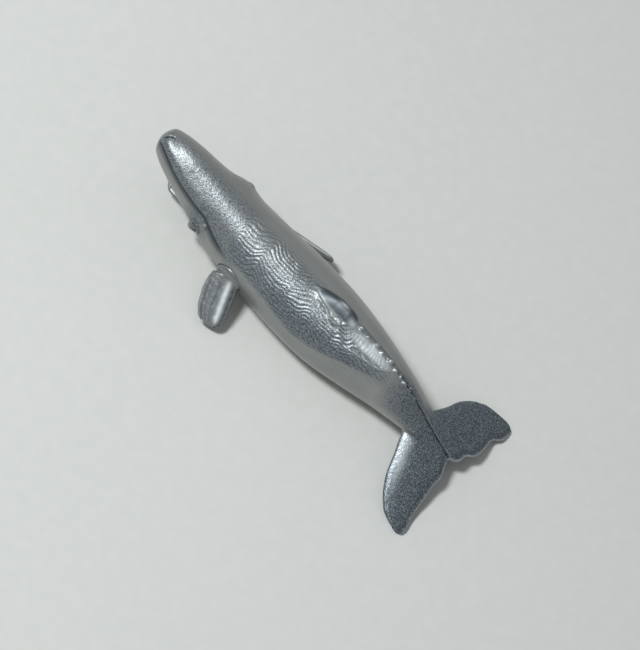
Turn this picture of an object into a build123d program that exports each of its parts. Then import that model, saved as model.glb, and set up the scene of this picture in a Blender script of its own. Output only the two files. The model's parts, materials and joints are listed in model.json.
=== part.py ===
from build123d import *
import math
import os

# A small sperm whale figure that stands on its belly and the tips of its flukes.
# Its nose points along -X, its right side is +Y, up is +Z. The origin lies under the middle
# of the figure, on the surface that it stands on.

# Overall body
length = 75.6
body_half_width = 7.25
back_height = 14.4
wall = 1.3
overrun = 30.0

# Hump, knuckles and brows
hump_length = 10.0
hump_radius = 1.5
knuckle_radius = 0.62
brow_height = 9.6
brow_radius = 1.3

# Flukes
fluke_half_span = 14.4
fluke_root_height = 5.2
fluke_tip_height = 0.42
fluke_root_thickness = 3.0
fluke_tip_thickness = 0.9
fluke_pitch_angle = 8.0

# Flippers
flipper_length = 9.4
flipper_chord = 5.6
flipper_thickness = 1.7
flipper_droop_angle = 34.0
left_sweep_angle = 23.0
right_sweep_angle = 60.0
left_pitch_angle = 0.0
right_pitch_angle = 24.0
blade_root_y = 7.0
flipper_axis_x = 24.6
flipper_axis_z = 5.9
hub_radius = 2.65
hub_floor_y = 5.25
hub_face_y = 6.85
hub_clearance = 0.15
end_clearance = 0.15
peg_radius = 1.15
peg_clearance = 0.05
seat_thickness = 1.3
retainer_radius = 2.1
retainer_thickness = 1.2
peg_tail = 0.25

# Locating posts between the two halves
post_radius = 0.9
post_clearance = 0.05
post_reach = 2.2
post_end_gap = 0.4
socket_wall = 0.8

# Lower jaw
jaw_length = 11.7
jaw_tip_half_width = 1.95
jaw_root_half_width = 2.0
jaw_tip_thickness = 1.4
jaw_open_angle = 17.0
jaw_side_gap = 0.2
jaw_top_gap = 0.2
hinge_x = 17.2
hinge_z = 2.6
barrel_radius = 1.15
barrel_gap = 0.2
pin_radius = 0.55
pin_clearance = 0.04
pin_hold = 0.9
palate_front_z = 7.0
palate_rear_z = 4.1
palate_wall = 0.9
mouth_front_x = 5.0

# Teeth
tooth_height = 0.42
tooth_radius = 0.2
tooth_count = 7
bare_places = 2
tooth_inset = 0.45
channel_clearance = 0.2

# Eyes
eye_radius = 0.6
eye_rise = 0.22
eye_shank_radius = 0.35
eye_shank_length = 0.8
eye_sink = 0.12

nose_x = -length / 2
half_turn_angle = 180

# Each row holds a place along the body as a share of the length, the half width as a share of
# body_half_width, and the top and the underside as shares of back_height.
body_shares = (
    (0.0000, 0.240, 0.960, 0.690),
    (0.0140, 0.345, 1.012, 0.610),
    (0.0340, 0.425, 1.045, 0.515),
    (0.0700, 0.510, 1.073, 0.395),
    (0.1390, 0.640, 1.055, 0.235),
    (0.2280, 0.810, 1.025, 0.075),
    (0.3370, 0.920, 1.007, -0.012),
    (0.4560, 1.000, 1.000, -0.026),
    (0.5620, 0.965, 1.000, -0.026),
    (0.6670, 0.765, 0.985, 0.032),
    (0.7330, 0.600, 0.940, 0.082),
    (0.7870, 0.500, 0.830, 0.153),
    (0.8330, 0.420, 0.670, 0.229),
    (0.8800, 0.320, 0.510, 0.268),
    (0.9350, 0.190, 0.350, 0.262),
)
station_shares, width_shares, top_shares, bottom_shares = zip(*body_shares)
cavity_end_shares = (0.060, 0.780)
body_sections = 18
cavity_sections = 10
nose_crowding_share = 0.7
crown_share = 0.715
keel_share = 0.700
middle_share = 0.5

# Places of the eye, of the hump and of the knuckles behind it: shares of the length and of
# back_height. The brow's place has its share of body_half_width between them.
eye_place_shares = (0.195, 0.566)
hump_place_shares = (0.536, 0.978)
hump_tilt_angle = -5.0
brow_tilt_angle = 120.0
knuckle_shares = ((0.665, 0.985), (0.705, 0.965), (0.738, 0.925), (0.770, 0.875), (0.800, 0.790))
brow_place_shares = (0.201, 0.640, 0.590)

# Each row: share of the half span, leading edge and trailing edge as shares of the length, and
# thickness and height as shares of the way from root to tip.
fluke_shares = (
    (0.000, 0.815, 0.945, 0.00, 0.00),
    (0.220, 0.833, 0.966, 0.42, 0.14),
    (0.440, 0.853, 0.978, 0.66, 0.34),
    (0.700, 0.878, 0.987, 0.80, 0.62),
    (0.880, 0.911, 0.996, 0.92, 0.85),
    (1.000, 0.960, 1.000, 1.00, 1.00),
)
tip_pitch_share = 0.5

# Each row of the flipper: share of its length, chord and thickness as shares of the root's,
# and how far the middle of the chord lags, as a share of the length.
flipper_shares = (
    (-0.06, 0.91, 1.05, 0.000),
    (0.20, 1.03, 0.86, 0.000),
    (0.48, 1.06, 0.70, 0.000),
    (0.76, 0.98, 0.56, 0.035),
    (0.93, 0.70, 0.46, 0.085),
    (1.00, 0.26, 0.30, 0.120),
)

# Locating posts: shares of the length and of back_height.
post_shares = ((0.150, 0.780), (0.490, 0.500), (0.690, 0.560))


def along(share):
    return nose_x + share * length


def section(x, half_width, top, bottom):
    """A closed, rounded body section across X, drawn from the left through eight points."""
    middle = bottom + (top - bottom) * middle_share
    side_y, heel_y = half_width * crown_share, half_width * keel_share
    upper = middle + (top - middle) * crown_share
    lower = middle - (middle - bottom) * keel_share
    outline = [
        (x, -half_width, middle),
        (x, -heel_y, lower),
        (x, 0, bottom),
        (x, heel_y, lower),
        (x, half_width, middle),
        (x, side_y, upper),
        (x, 0, top),
        (x, -side_y, upper),
    ]
    return Wire([Spline(outline, periodic=True)])


def slope_at(values, index):
    """Steepness of the values at one station, weighted by the spans beside it."""
    places = station_shares
    low, high = max(index - 1, 0), min(index + 1, len(places) - 1)
    if index in (low, high):
        return (values[high] - values[low]) / (places[high] - places[low])
    before, after = places[index] - places[low], places[high] - places[index]
    rise_before = (values[index] - values[low]) / before
    rise_after = (values[high] - values[index]) / after
    return (rise_before * after + rise_after * before) / (before + after)


def share_between(values, share):
    """A smooth curve through values at the body's stations, at a share of the length."""
    places = station_shares
    index = 0
    while index < len(places) - 2 and share > places[index + 1]:
        index += 1
    span = places[index + 1] - places[index]
    t = (share - places[index]) / span
    start, end = values[index], values[index + 1]
    start_rise, end_rise = slope_at(values, index) * span, slope_at(values, index + 1) * span
    blend = t * t * (3 - 2 * t)
    return start + (end - start) * blend + t * (1 - t) * (start_rise * (1 - t) - end_rise * t)


def body_section(share, inset):
    """The body's section at a share of the length, drawn in by the inset."""
    half_width = body_half_width * share_between(width_shares, share) - inset
    top = back_height * share_between(top_shares, share) - inset
    bottom = back_height * share_between(bottom_shares, share) + inset
    return section(along(share), half_width, top, bottom)


def plain_body():
    sections = []
    for index in range(body_sections):
        step = index / (body_sections - 1)
        crowded = nose_crowding_share * step ** 2 + (1 - nose_crowding_share) * step
        sections.append(body_section(body_shares[-1][0] * crowded, 0))
    return Solid.make_loft(sections)


def cavity():
    first, last = cavity_end_shares
    sections = []
    for index in range(cavity_sections):
        share = first + (last - first) * index / (cavity_sections - 1)
        sections.append(body_section(share, wall))
    return Solid.make_loft(sections)


def spheroid(half_length, radius, place, tilt):
    """A rounded bead along X, its front end tilted up by an angle."""
    arc = EllipticalCenterArc((0, 0), half_length, radius, start_angle=0, arc_size=half_turn_angle)
    face = make_face([arc, Line((-half_length, 0), (half_length, 0))])
    bead = revolve(Plane.XY * face, Axis.X)
    return Pos(*place) * Rot(0, tilt, 0) * bead


def ridge_beads():
    hump_x, hump_z = along(hump_place_shares[0]), back_height * hump_place_shares[1]
    beads = [spheroid(hump_length / 2, hump_radius, (hump_x, 0, hump_z), hump_tilt_angle)]
    for x_share, z_share in knuckle_shares:
        place = (along(x_share), 0, back_height * z_share)
        beads.append(Pos(*place) * Sphere(knuckle_radius))
    return beads


def brow():
    x_share, y_share, z_share = brow_place_shares
    place = (along(x_share), body_half_width * y_share, back_height * z_share)
    return spheroid(brow_height / 2, brow_radius, place, brow_tilt_angle)


def fluke_chord_way(span_share):
    """Direction from the leading to the trailing edge, which lies lower, less so at the tip."""
    share = 1 + (tip_pitch_share - 1) * span_share
    pitch = math.radians(fluke_pitch_angle * share)
    return (math.cos(pitch), 0, -math.sin(pitch))


def right_fluke():
    """The right fluke, a loft of flat ellipses that drop from the keel to the tip."""
    faces = []
    for span_share, lead_share, trail_share, thin_share, drop_share in fluke_shares:
        lead, trail = along(lead_share), along(trail_share)
        thickness = fluke_root_thickness + (fluke_tip_thickness - fluke_root_thickness) * thin_share
        height = fluke_root_height + (fluke_tip_height - fluke_root_height) * drop_share
        place = ((lead + trail) / 2, fluke_half_span * span_share, height)
        outline = Ellipse((trail - lead) / 2, thickness / 2)
        chord_way = fluke_chord_way(span_share)
        faces.append(Plane(origin=place, x_dir=chord_way, z_dir=(0, 1, 0)) * outline)
    return loft(faces)


def rod_y(radius, x, z, y_from, y_to):
    """A round rod along Y between two places."""
    plane = Plane(origin=(x, y_from, z), x_dir=(1, 0, 0), z_dir=(0, 1, 0))
    return extrude(plane * Circle(radius), amount=y_to - y_from)


def side_space(y_low):
    """Everything at and beyond a place on the right."""
    align = (Align.CENTER, Align.MIN, Align.CENTER)
    return Pos(0, y_low, 0) * Box(length + overrun, overrun, back_height + overrun, align=align)


def above_ground():
    align = (Align.CENTER, Align.CENTER, Align.MIN)
    return Box(length + overrun, overrun * 2, back_height + overrun, align=align)


def outer_half():
    """The right half of the outside, with its fluke, its halves of the beads and its brow."""
    added = [bead & side_space(0) for bead in ridge_beads()]
    half = (plain_body() & side_space(0)) + (added + [brow(), right_fluke()])
    return half & above_ground()


def hinge_point():
    return nose_x + hinge_x, hinge_z


def palate_line():
    """The palate in side view, from the front of the mouth to above the hinge."""
    return (nose_x + mouth_front_x, palate_front_z), (nose_x + hinge_x, palate_rear_z)


def mouth_profile(grow):
    """The mouth in side view, grown by a wall: palate, hinge end and an open underside."""
    (front_x, front_z), (rear_x, rear_z) = palate_line()
    end_x = rear_x + barrel_radius + barrel_gap + grow
    points = [
        (front_x - grow, -overrun),
        (front_x - grow, front_z + grow),
        (end_x, rear_z + grow),
        (end_x, -overrun),
    ]
    return make_face(Polyline(points, close=True))


def mouth_space(grow):
    half_width = jaw_root_half_width + jaw_side_gap + grow
    plane = Plane(origin=(0, -half_width, 0), x_dir=(1, 0, 0), z_dir=(0, -1, 0))
    return extrude(plane * mouth_profile(grow), amount=-half_width * 2)


def jaw_half_width_at(share):
    return jaw_tip_half_width + (jaw_root_half_width - jaw_tip_half_width) * share


def jaw_top_z(x):
    """Height of the closed jaw's top at a place along the mouth."""
    (front_x, front_z), (rear_x, rear_z) = palate_line()
    share = (x - front_x) / (rear_x - front_x)
    return front_z + (rear_z - front_z) * share - jaw_top_gap


def tooth_places():
    """Feet of the teeth on the closed jaw, right side."""
    places = []
    for index in range(tooth_count):
        share = (index + 1) / (tooth_count + 1 + bare_places)
        x = nose_x + hinge_x - jaw_length * (1 - share)
        y = jaw_half_width_at(share) - tooth_inset
        places.append((x, y, jaw_top_z(x)))
    return places


def tooth(place):
    x, y, z = place
    root = tooth_radius
    align = (Align.CENTER, Align.CENTER, Align.MIN)
    cone = Cone(tooth_radius, tooth_radius / 2, tooth_height + root, align=align)
    return Pos(x, y, z - root) * cone


def tooth_channel():
    """A groove in the palate that the teeth of the right side close into."""
    places = tooth_places()
    first, last = places[0], places[-1]
    half = tooth_radius + channel_clearance
    low_y = min(first[1], last[1]) - half
    high_y = max(first[1], last[1]) + half
    depth = jaw_top_gap + tooth_height + channel_clearance
    points = [
        (first[0] - half * 2, first[2] - depth),
        (first[0] - half * 2, first[2] + depth),
        (last[0] + half * 2, last[2] + depth),
        (last[0] + half * 2, last[2] - depth),
    ]
    plane = Plane(origin=(0, low_y, 0), x_dir=(1, 0, 0), z_dir=(0, -1, 0))
    return extrude(plane * make_face(Polyline(points, close=True)), amount=low_y - high_y)


def pin_end_y():
    return jaw_root_half_width + jaw_side_gap + pin_hold


def mouth_block():
    """Solid material round the mouth, which closes the hollow body off from it."""
    grown = mouth_space(palate_wall)
    x, z = hinge_point()
    cheek = rod_y(pin_radius + palate_wall, x, z, 0, overrun)
    return grown + cheek


def hub_seat():
    """The boss inside the wall that carries the flipper."""
    x = nose_x + flipper_axis_x
    radius = hub_radius + hub_clearance + wall
    return rod_y(radius, x, flipper_axis_z, hub_floor_y - seat_thickness, overrun)


def flipper_cuts():
    x = nose_x + flipper_axis_x
    pocket = rod_y(hub_radius + hub_clearance, x, flipper_axis_z, hub_floor_y, overrun)
    bore = rod_y(peg_radius + peg_clearance, x, flipper_axis_z, 0, overrun)
    return [pocket, bore]


def posts(radius, y_to):
    """Rods at the three locating places, from beyond the right wall to a place along Y."""
    rods = []
    for x_share, z_share in post_shares:
        rods.append(rod_y(radius, along(x_share), back_height * z_share, y_to, overrun))
    return rods


def eye_place():
    x_share, z_share = eye_place_shares
    return along(x_share), back_height * z_share


def eye_plane(outside):
    """A plane on the surface at the right eye, facing outwards."""
    x, z = eye_place()
    probe = rod_y(eye_shank_radius, x, z, 0, overrun) & outside
    surface_y = probe.bounding_box().max.Y
    return Plane(origin=(x, surface_y - eye_sink, z), x_dir=(1, 0, 0), z_dir=(0, 1, 0))


def shank_rod():
    align = (Align.CENTER, Align.CENTER, Align.MAX)
    return Cylinder(eye_shank_radius, eye_shank_length, align=align)


def eye(plane):
    """A domed stud with a shank, standing in its hole."""
    radius = (eye_radius ** 2 + eye_rise ** 2) / (2 * eye_rise)
    dome = Pos(0, 0, eye_rise - radius) * Sphere(radius)
    cap = dome & Cylinder(eye_radius, eye_rise, align=(Align.CENTER, Align.CENTER, Align.MIN))
    return plane * (cap + shank_rod())


def eye_cut(plane):
    """The seat of the eye and the hole of its shank."""
    seat = Cylinder(eye_radius, eye_radius, align=(Align.CENTER, Align.CENTER, Align.MIN))
    return plane * (seat + shank_rod())


def plain_shell(outside):
    """The right half, hollow, with its seats, post roots, the mouth and its bores."""
    added = [hub_seat() & outside, mouth_block() & side_space(0) & outside]
    added += [tube & outside for tube in posts(post_radius + socket_wall, 0)]
    x, z = hinge_point()
    pin_bore = rod_y(pin_radius, x, z, 0, pin_end_y())
    cuts = [mouth_space(0), tooth_channel(), pin_bore, eye_cut(eye_plane(outside))]
    return (outside - cavity()) + added - (cuts + flipper_cuts())


def shell_with_sockets(shell):
    reach = side_space(0) - side_space(post_reach + post_end_gap)
    return shell - [bore & reach for bore in posts(post_radius + post_clearance, 0)]


def shell_with_posts(shell):
    """The half whose posts reach over the middle, before it is mirrored to the left."""
    rods = []
    for x_share, z_share in post_shares:
        rods.append(rod_y(post_radius, along(x_share), back_height * z_share, -post_reach, wall))
    return shell + rods


def blade_ways(sweep_angle, pitch_angle):
    """Directions along the right paddle and across it, pitched with its front edge down."""
    droop, turn = math.radians(flipper_droop_angle), math.radians(sweep_angle)
    outward = Vector(0, math.cos(droop), -math.sin(droop))
    back = Vector(1, 0, 0)
    reach = outward * math.cos(turn) + back * math.sin(turn)
    level = back * math.cos(turn) - outward * math.sin(turn)
    return reach, level.rotate(Axis((0, 0, 0), reach), -pitch_angle)


def blade(sweep_angle, pitch_angle):
    """The paddle of the right flipper, a loft of ellipses square to its length."""
    reach, chord_way = blade_ways(sweep_angle, pitch_angle)
    root = Vector(nose_x + flipper_axis_x, blade_root_y, flipper_axis_z)
    faces = []
    for span_share, chord_share, thin_share, lag_share in flipper_shares:
        along_span = reach * (flipper_length * span_share)
        place = root + along_span + chord_way * (flipper_length * lag_share)
        outline = Ellipse(flipper_chord * chord_share / 2, flipper_thickness * thin_share / 2)
        faces.append(Plane(origin=place, x_dir=chord_way, z_dir=reach) * outline)
    return loft(faces)


def flipper(sweep_angle, pitch_angle):
    """The right flipper: peg, hub and paddle."""
    x = nose_x + flipper_axis_x
    seat_y = hub_floor_y + end_clearance
    hub = rod_y(hub_radius, x, flipper_axis_z, seat_y, hub_face_y)
    peg = rod_y(peg_radius, x, flipper_axis_z, peg_end_y(), seat_y)
    over_hub = rod_y(hub_radius, x, flipper_axis_z, seat_y, overrun)
    clear_of_body = side_space(body_half_width + hub_clearance)
    paddle = blade(sweep_angle, pitch_angle) & (clear_of_body + over_hub)
    return (hub + [paddle, peg]) & above_ground()


def retainer_outer_y():
    return hub_floor_y - seat_thickness - end_clearance


def peg_end_y():
    return retainer_outer_y() - retainer_thickness - peg_tail


def retainer():
    x = nose_x + flipper_axis_x
    y = retainer_outer_y()
    ring = rod_y(retainer_radius, x, flipper_axis_z, y - retainer_thickness, y)
    return ring - rod_y(peg_radius, x, flipper_axis_z, y - retainer_thickness, y)


def jaw_plan():
    """The jaw from above: a round tip and straight sides that widen to the hinge."""
    x, z = hinge_point()
    tip_x = x - jaw_length
    neck_x = tip_x + jaw_tip_half_width
    right = [(neck_x, jaw_tip_half_width), (x, jaw_root_half_width)]
    left = [(x, -jaw_root_half_width), (neck_x, -jaw_tip_half_width)]
    round_tip = ThreePointArc(left[1], (tip_x, 0), right[0])
    sides = [Line(*right), Line(right[1], left[0]), Line(*left)]
    return make_face([round_tip] + sides)


def jaw_side():
    """The closed jaw in side view, a wedge under the palate."""
    x, z = hinge_point()
    tip_x = x - jaw_length
    top_tip, top_root = jaw_top_z(tip_x), jaw_top_z(x)
    points = [
        (tip_x, top_tip),
        (x, min(top_root, z + barrel_radius)),
        (x, z - barrel_radius),
        (tip_x + jaw_tip_thickness, top_tip - jaw_tip_thickness),
        (tip_x, top_tip - jaw_tip_thickness / 2),
    ]
    return make_face(Polyline(points, close=True))


def lower_jaw():
    """The jaw with its barrel and teeth, turned down to where it rests."""
    x, z = hinge_point()
    plan = extrude(jaw_plan(), amount=back_height)
    plane = Plane(origin=(0, 0, 0), x_dir=(1, 0, 0), z_dir=(0, -1, 0))
    side = extrude(plane * jaw_side(), amount=jaw_root_half_width, both=True)
    jaw = plan & side
    jaw += rod_y(barrel_radius, x, z, -jaw_root_half_width, jaw_root_half_width)
    for place in tooth_places():
        jaw += tooth(place)
        jaw += mirror(tooth(place), Plane.XZ)
    jaw -= rod_y(pin_radius + pin_clearance, x, z, -overrun, overrun)
    return jaw.rotate(Axis((x, 0, z), (0, 1, 0)), -jaw_open_angle)


def jaw_pin():
    x, z = hinge_point()
    return rod_y(pin_radius, x, z, -pin_end_y(), pin_end_y())


def mirrored(shape):
    return mirror(shape, Plane.XZ)


def main():
    outside = outer_half()
    shell = plain_shell(outside)
    stud = eye(eye_plane(outside))
    nodes = {
        "right_body_shell": shell_with_sockets(shell),
        "left_body_shell": mirrored(shell_with_posts(shell)),
        "right_flipper": flipper(right_sweep_angle, right_pitch_angle),
        "left_flipper": mirrored(flipper(left_sweep_angle, left_pitch_angle)),
        "right_flipper_retainer": retainer(),
        "left_flipper_retainer": mirrored(retainer()),
        "lower_jaw": lower_jaw(),
        "jaw_pin": jaw_pin(),
        "right_eye": stud,
        "left_eye": mirrored(stud),
    }
    os.makedirs("parts", exist_ok=True)
    for name, shape in nodes.items():
        export_step(shape, os.path.join("parts", name + ".step"))


main()
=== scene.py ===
import itertools
import json
import math

import bmesh
import bpy
import numpy as np
from mathutils import Matrix

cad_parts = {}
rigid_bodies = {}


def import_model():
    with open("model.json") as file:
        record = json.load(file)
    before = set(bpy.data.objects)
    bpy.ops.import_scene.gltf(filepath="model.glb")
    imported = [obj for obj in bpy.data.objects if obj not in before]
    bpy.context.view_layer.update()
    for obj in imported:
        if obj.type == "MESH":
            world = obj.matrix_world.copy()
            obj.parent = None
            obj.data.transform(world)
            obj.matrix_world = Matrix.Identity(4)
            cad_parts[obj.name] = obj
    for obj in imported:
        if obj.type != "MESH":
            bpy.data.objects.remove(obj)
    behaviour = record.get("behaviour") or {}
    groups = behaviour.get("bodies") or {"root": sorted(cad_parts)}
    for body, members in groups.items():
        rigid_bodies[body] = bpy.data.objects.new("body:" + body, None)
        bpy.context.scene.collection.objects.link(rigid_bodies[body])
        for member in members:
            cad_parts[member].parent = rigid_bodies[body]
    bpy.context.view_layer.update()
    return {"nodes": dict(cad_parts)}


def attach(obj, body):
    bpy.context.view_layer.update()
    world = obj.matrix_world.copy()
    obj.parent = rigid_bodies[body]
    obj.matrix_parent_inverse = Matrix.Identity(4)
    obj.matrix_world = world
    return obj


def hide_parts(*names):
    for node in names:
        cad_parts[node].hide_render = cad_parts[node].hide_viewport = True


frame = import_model()

# The figure is worked out in millimetres and made metres at the end.
MM = 0.001

# Sizes
LENGTH = 75.6
HALF_WIDTH = 7.25
BACK_HEIGHT = 14.4
NOSE_X = -LENGTH / 2
SKIN_STEP = 0.145
FIN_STEP = 0.12

# Share of the length, half width, top and underside of the body.
BODY = (
    (0.0000, 0.240, 0.960, 0.690),
    (0.0140, 0.345, 1.012, 0.610),
    (0.0340, 0.425, 1.045, 0.515),
    (0.0700, 0.510, 1.073, 0.395),
    (0.1390, 0.640, 1.055, 0.235),
    (0.2280, 0.810, 1.025, 0.075),
    (0.3370, 0.920, 1.007, -0.012),
    (0.4560, 1.000, 1.000, -0.026),
    (0.5620, 0.965, 1.000, -0.026),
    (0.6670, 0.765, 0.985, 0.032),
    (0.7330, 0.600, 0.940, 0.082),
    (0.7870, 0.500, 0.830, 0.153),
    (0.8330, 0.420, 0.670, 0.229),
    (0.8800, 0.320, 0.510, 0.268),
    (0.9350, 0.190, 0.350, 0.262),
)
NOSE_ROUNDING = 1.1
UPPER_FULLNESS = 2.066
LOWER_FULLNESS = 1.943
TAIL_BEND, BEND_START, BEND_END = 0.45, 40.0, 64.0

# Flukes: share of the half span, then share of the way thin and share of the way down.
FLUKE_SPAN = 14.5
FLUKE_PITCH, FLUKE_UNTWIST = 0.22, 0.4
FLUKE_ROOT_HEIGHT, FLUKE_TIP_HEIGHT = 5.2, 0.42
FLUKE_ROOT_THICKNESS, FLUKE_TIP_THICKNESS = 3.0, 0.9
FLUKE_TIP_ROUNDING = 0.07
FLUKES = (
    (0.000, 0.00, 0.00),
    (0.220, 0.42, 0.18),
    (0.440, 0.66, 0.40),
    (0.700, 0.80, 0.68),
    (0.880, 0.92, 0.88),
    (1.000, 1.00, 1.00),
)
# Leading and trailing edges: share of the half span and place behind the nose.
RIGHT_LEAD = (
    (0.00, 62.1), (0.22, 63.7), (0.44, 64.9), (0.70, 65.9), (0.88, 67.9), (0.95, 69.4), (1.00, 71.6),
)
LEFT_LEAD = (
    (0.00, 61.8), (0.22, 63.05), (0.44, 64.75), (0.70, 66.8), (0.88, 69.3), (0.95, 70.8), (1.00, 72.8),
)
RIGHT_TRAIL = (
    (0.00, 71.5), (0.04, 72.5), (0.11, 73.05), (0.23, 73.3), (0.28, 73.95), (0.40, 74.4),
    (0.55, 74.25), (0.68, 74.25), (0.76, 75.05), (0.90, 75.35), (1.00, 75.2),
)
LEFT_TRAIL = (
    (0.00, 71.5), (0.10, 72.2), (0.19, 72.95), (0.36, 73.2), (0.50, 73.7), (0.64, 74.1),
    (0.78, 74.7), (0.88, 75.35), (0.96, 75.45), (1.00, 75.2),
)

# Hump: where it starts, is highest, falls and ends behind the nose, and its height and sides.
HUMP = (35.0, 42.2, 43.4, 46.0)
HUMP_HEIGHT, HUMP_LEFT, HUMP_RIGHT = 1.24, 2.8, 1.35
HUMP_CREST = ((35.0, 0.10), (38.0, 0.45), (41.0, 0.90), (46.0, 0.70))

# Brow on each side: place behind the nose, across and up, half length and radius.
BROWS = {-1: (15.2, 4.62, 8.20, 3.7, 1.25), 1: (15.0, 4.47, 8.80, 3.7, 1.28)}
BROW_TILT = 120.0

# Knuckles on the tail's ridge: place behind the nose, place to the right and size.
KNUCKLE_ROW = (
    (46.6, 0.50, 0.42), (48.4, 0.42, 0.30), (50.4, 0.34, 0.46), (51.9, 0.28, 0.38), (53.9, 0.12, 0.48),
    (55.5, 0.00, 0.46), (56.8, -0.06, 0.34), (57.9, -0.12, 0.42), (59.3, -0.04, 0.32), (60.7, 0.04, 0.28),
)

# Flippers
FLIPPER_X, FLIPPER_Z = 24.6, 5.9
FLIPPER_CHORD, FLIPPER_THICKNESS = 5.6, 1.7
FLIPPER_DROOP = 34.0
# Sweep, pitch, length, how far the shoulder swells, and the share kept of the half chord behind.
FLIPPER_TURNS = {"left": (22.0, 0.0, 8.45, 0.6, 0.84), "right": (60.0, 24.0, 9.9, 0.4, 1.0)}
BLADE_ROOT = 7.0
BLADE_CLEAR = 7.42
HUB_RADIUS, HUB_FLOOR, HUB_SEAT, HUB_FACE = 2.65, 5.25, 5.40, 6.85
HUB_CLEARANCE = 0.15
# Steps of the hub's rim: how much smaller than the hub, and how far out.
HUB_RIM = (
    (0.12, HUB_SEAT), (0.0, HUB_SEAT + 0.12),
    (0.0, HUB_FACE - 0.28), (0.09, HUB_FACE - 0.09), (0.30, HUB_FACE),
)
PEG_RADIUS, PEG_END, PEG_CLEARANCE, PEG_BORE_START = 1.15, 2.35, 0.05, 2.0
SEAT_WALL, SEAT_START = 1.3, 3.95
SHOULDER_LENGTH, SHOULDER_RADIUS = 2.45, 2.0
# Share of the length, chord, thickness and lag of the middle of the chord.
FLIPPER = (
    (-0.06, 0.95, 1.05, 0.000),
    (0.20, 1.10, 0.86, -0.015),
    (0.48, 1.09, 0.70, -0.005),
    (0.76, 0.98, 0.56, 0.022),
    (0.93, 0.69, 0.46, 0.055),
    (1.00, 0.26, 0.30, 0.080),
)
# The rounded tip starts at this share, with this share of the chord and of the thickness.
TIP_START, TIP_CHORD, TIP_THICKNESS = 0.93, 0.70, 0.46

# Lower jaw and mouth
HINGE_X, HINGE_Z = 17.2, 2.6
JAW_LENGTH, JAW_OPEN = 11.7, 17.0
JAW_TIP_HALF, JAW_ROOT_HALF, JAW_TIP_DEPTH = 2.0, 2.0, 1.45
BARREL_RADIUS = 1.15
MOUTH_FRONT, PALATE_FRONT, PALATE_REAR = 5.0, 7.0, 4.1
JAW_GAP, PALATE_WALL = 0.2, 0.9
PIN_RADIUS, PIN_CLEARANCE = 0.55, 0.04
TOOTH_HEIGHT, TOOTH_RADIUS, TOOTH_COUNT = 0.42, 0.2, 7
TOOTH_INSET, TOOTH_SPACES, TOOTH_SINK = 0.45, 10, 0.1

# Hollow body and locating posts, as shares of the length and of the back's height.
WALL = 1.3
HOLLOW_ENDS = (0.060, 0.780)
POSTS = ((0.150, 0.780), (0.490, 0.500), (0.690, 0.560))
POST_RADIUS = 0.9

EYE_X, EYE_Y, EYE_Z, EYE_RADIUS = 14.74, 5.82, 8.15, 0.6
SHANK_RADIUS, SHANK_LENGTH = 0.35, 0.8

# Places outside the figure, where the forms that cut it or its hollow end.
REACH, FAR_OUT, BELOW = 60.0, 40.0, -20.0
BORE_END, EYE_BORE_END, PIN_WALL_END, POST_END = 14.0, 9.0, 9.0, 12.0

# Fold along the head, and the wrinkled band's edges: place behind the nose and angle from the top.
HEAD_FOLD = (
    (0.5, 58), (2.7, 61), (6.0, 70), (9.0, 71), (12.2, 68), (15.2, 63), (17.2, 68), (20.0, 73), (25.0, 78),
)
BAND_LEFT = ((14.0, 72), (19.7, 76), (25.7, 66), (31.9, 66), (38.7, 72), (45.2, 62), (53.7, 42), (60.0, 30))
BAND_RIGHT = ((14.0, 12), (20.9, 10), (25.4, 12), (31.9, 10), (36.0, 8), (40.7, 6), (47.0, 5), (60.0, 2))
SWIRL_X = 21.9
# Wrinkles: how far apart, how long their waves and ripples are, and how high they stand.
WRINKLE_SPACING, WAVE_LENGTH, RIPPLE_LENGTH, WRINKLE_HEIGHT = 0.70, 11.0, 3.9, 0.092
FOLD_DEPTH, SWELL_HEIGHT, BOLD_HEIGHT, SEAM_DEPTH, BLOWHOLE_DEPTH = 0.42, 0.42, 0.22, 0.30, 0.45
CHEEK_HEIGHT, BROW_SWELL, RIB_SPACING, RIB_HEIGHT = 0.36, 0.80, 0.62, 0.055
# Two bold ridges, as places behind the nose and across: under the hump and on the tail.
BOLD_RIDGES = (
    ((37.6, -1.1), (38.6, -1.35), (40.1, -1.6), (41.9, -2.2), (43.1, -2.1), (44.6, -1.0)),
    ((46.6, -4.1), (47.8, -3.7), (50.3, -3.2), (51.8, -2.8), (53.2, -2.5), (54.6, -1.5), (55.4, -0.9)),
)

BODY_TONE = (0.345, 0.350, 0.335)
# EDGE_TONE is the light grey of painted highlights and of the teeth; NAVY_TONE is the dark blue of the darker
# paint and of painted shade.
EDGE_TONE = (0.720, 0.760, 0.765)
NAVY_TONE = (0.088, 0.106, 0.120)


# Curves and masks
def rise(low, high, value):
    """0 at low and 1 at high, smooth between. Low may lie above high."""
    t = np.clip((value - low) / (high - low), 0.0, 1.0)
    return t * t * (3.0 - 2.0 * t)


def bell(value, middle, width):
    """1 at the middle, falling away smoothly on both sides."""
    return np.exp(-((value - middle) / width) ** 2)


def rounded(turn, fullness):
    """A sine or cosine drawn out towards a squarer outline."""
    return np.sign(turn) * np.abs(turn) ** (2 / fullness)


def full_turn(steps):
    return np.linspace(0, 2 * math.pi, steps, endpoint=False)


def curve(rows, column, places):
    """A smooth curve through one column of a table, read at many places."""
    table = np.array(rows, float)
    at, value = table[:, 0], table[:, column]
    gap = np.diff(at)
    steep = np.diff(value) / gap
    inner = (steep[:-1] * gap[1:] + steep[1:] * gap[:-1]) / (gap[:-1] + gap[1:])
    slope = np.concatenate([steep[:1], inner, steep[-1:]])
    places = np.clip(np.asarray(places, float), at[0], at[-1])
    index = np.clip(np.searchsorted(at, places) - 1, 0, len(rows) - 2)
    t = (places - at[index]) / gap[index]
    start, end = value[index], value[index + 1]
    mixed = start + (end - start) * t * t * (3 - 2 * t)
    return mixed + t * (1 - t) * gap[index] * (slope[index] * (1 - t) - slope[index + 1] * t)


def line_at(rows, places):
    """Straight lines through a table of places and values."""
    return np.interp(places, *zip(*rows))


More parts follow.
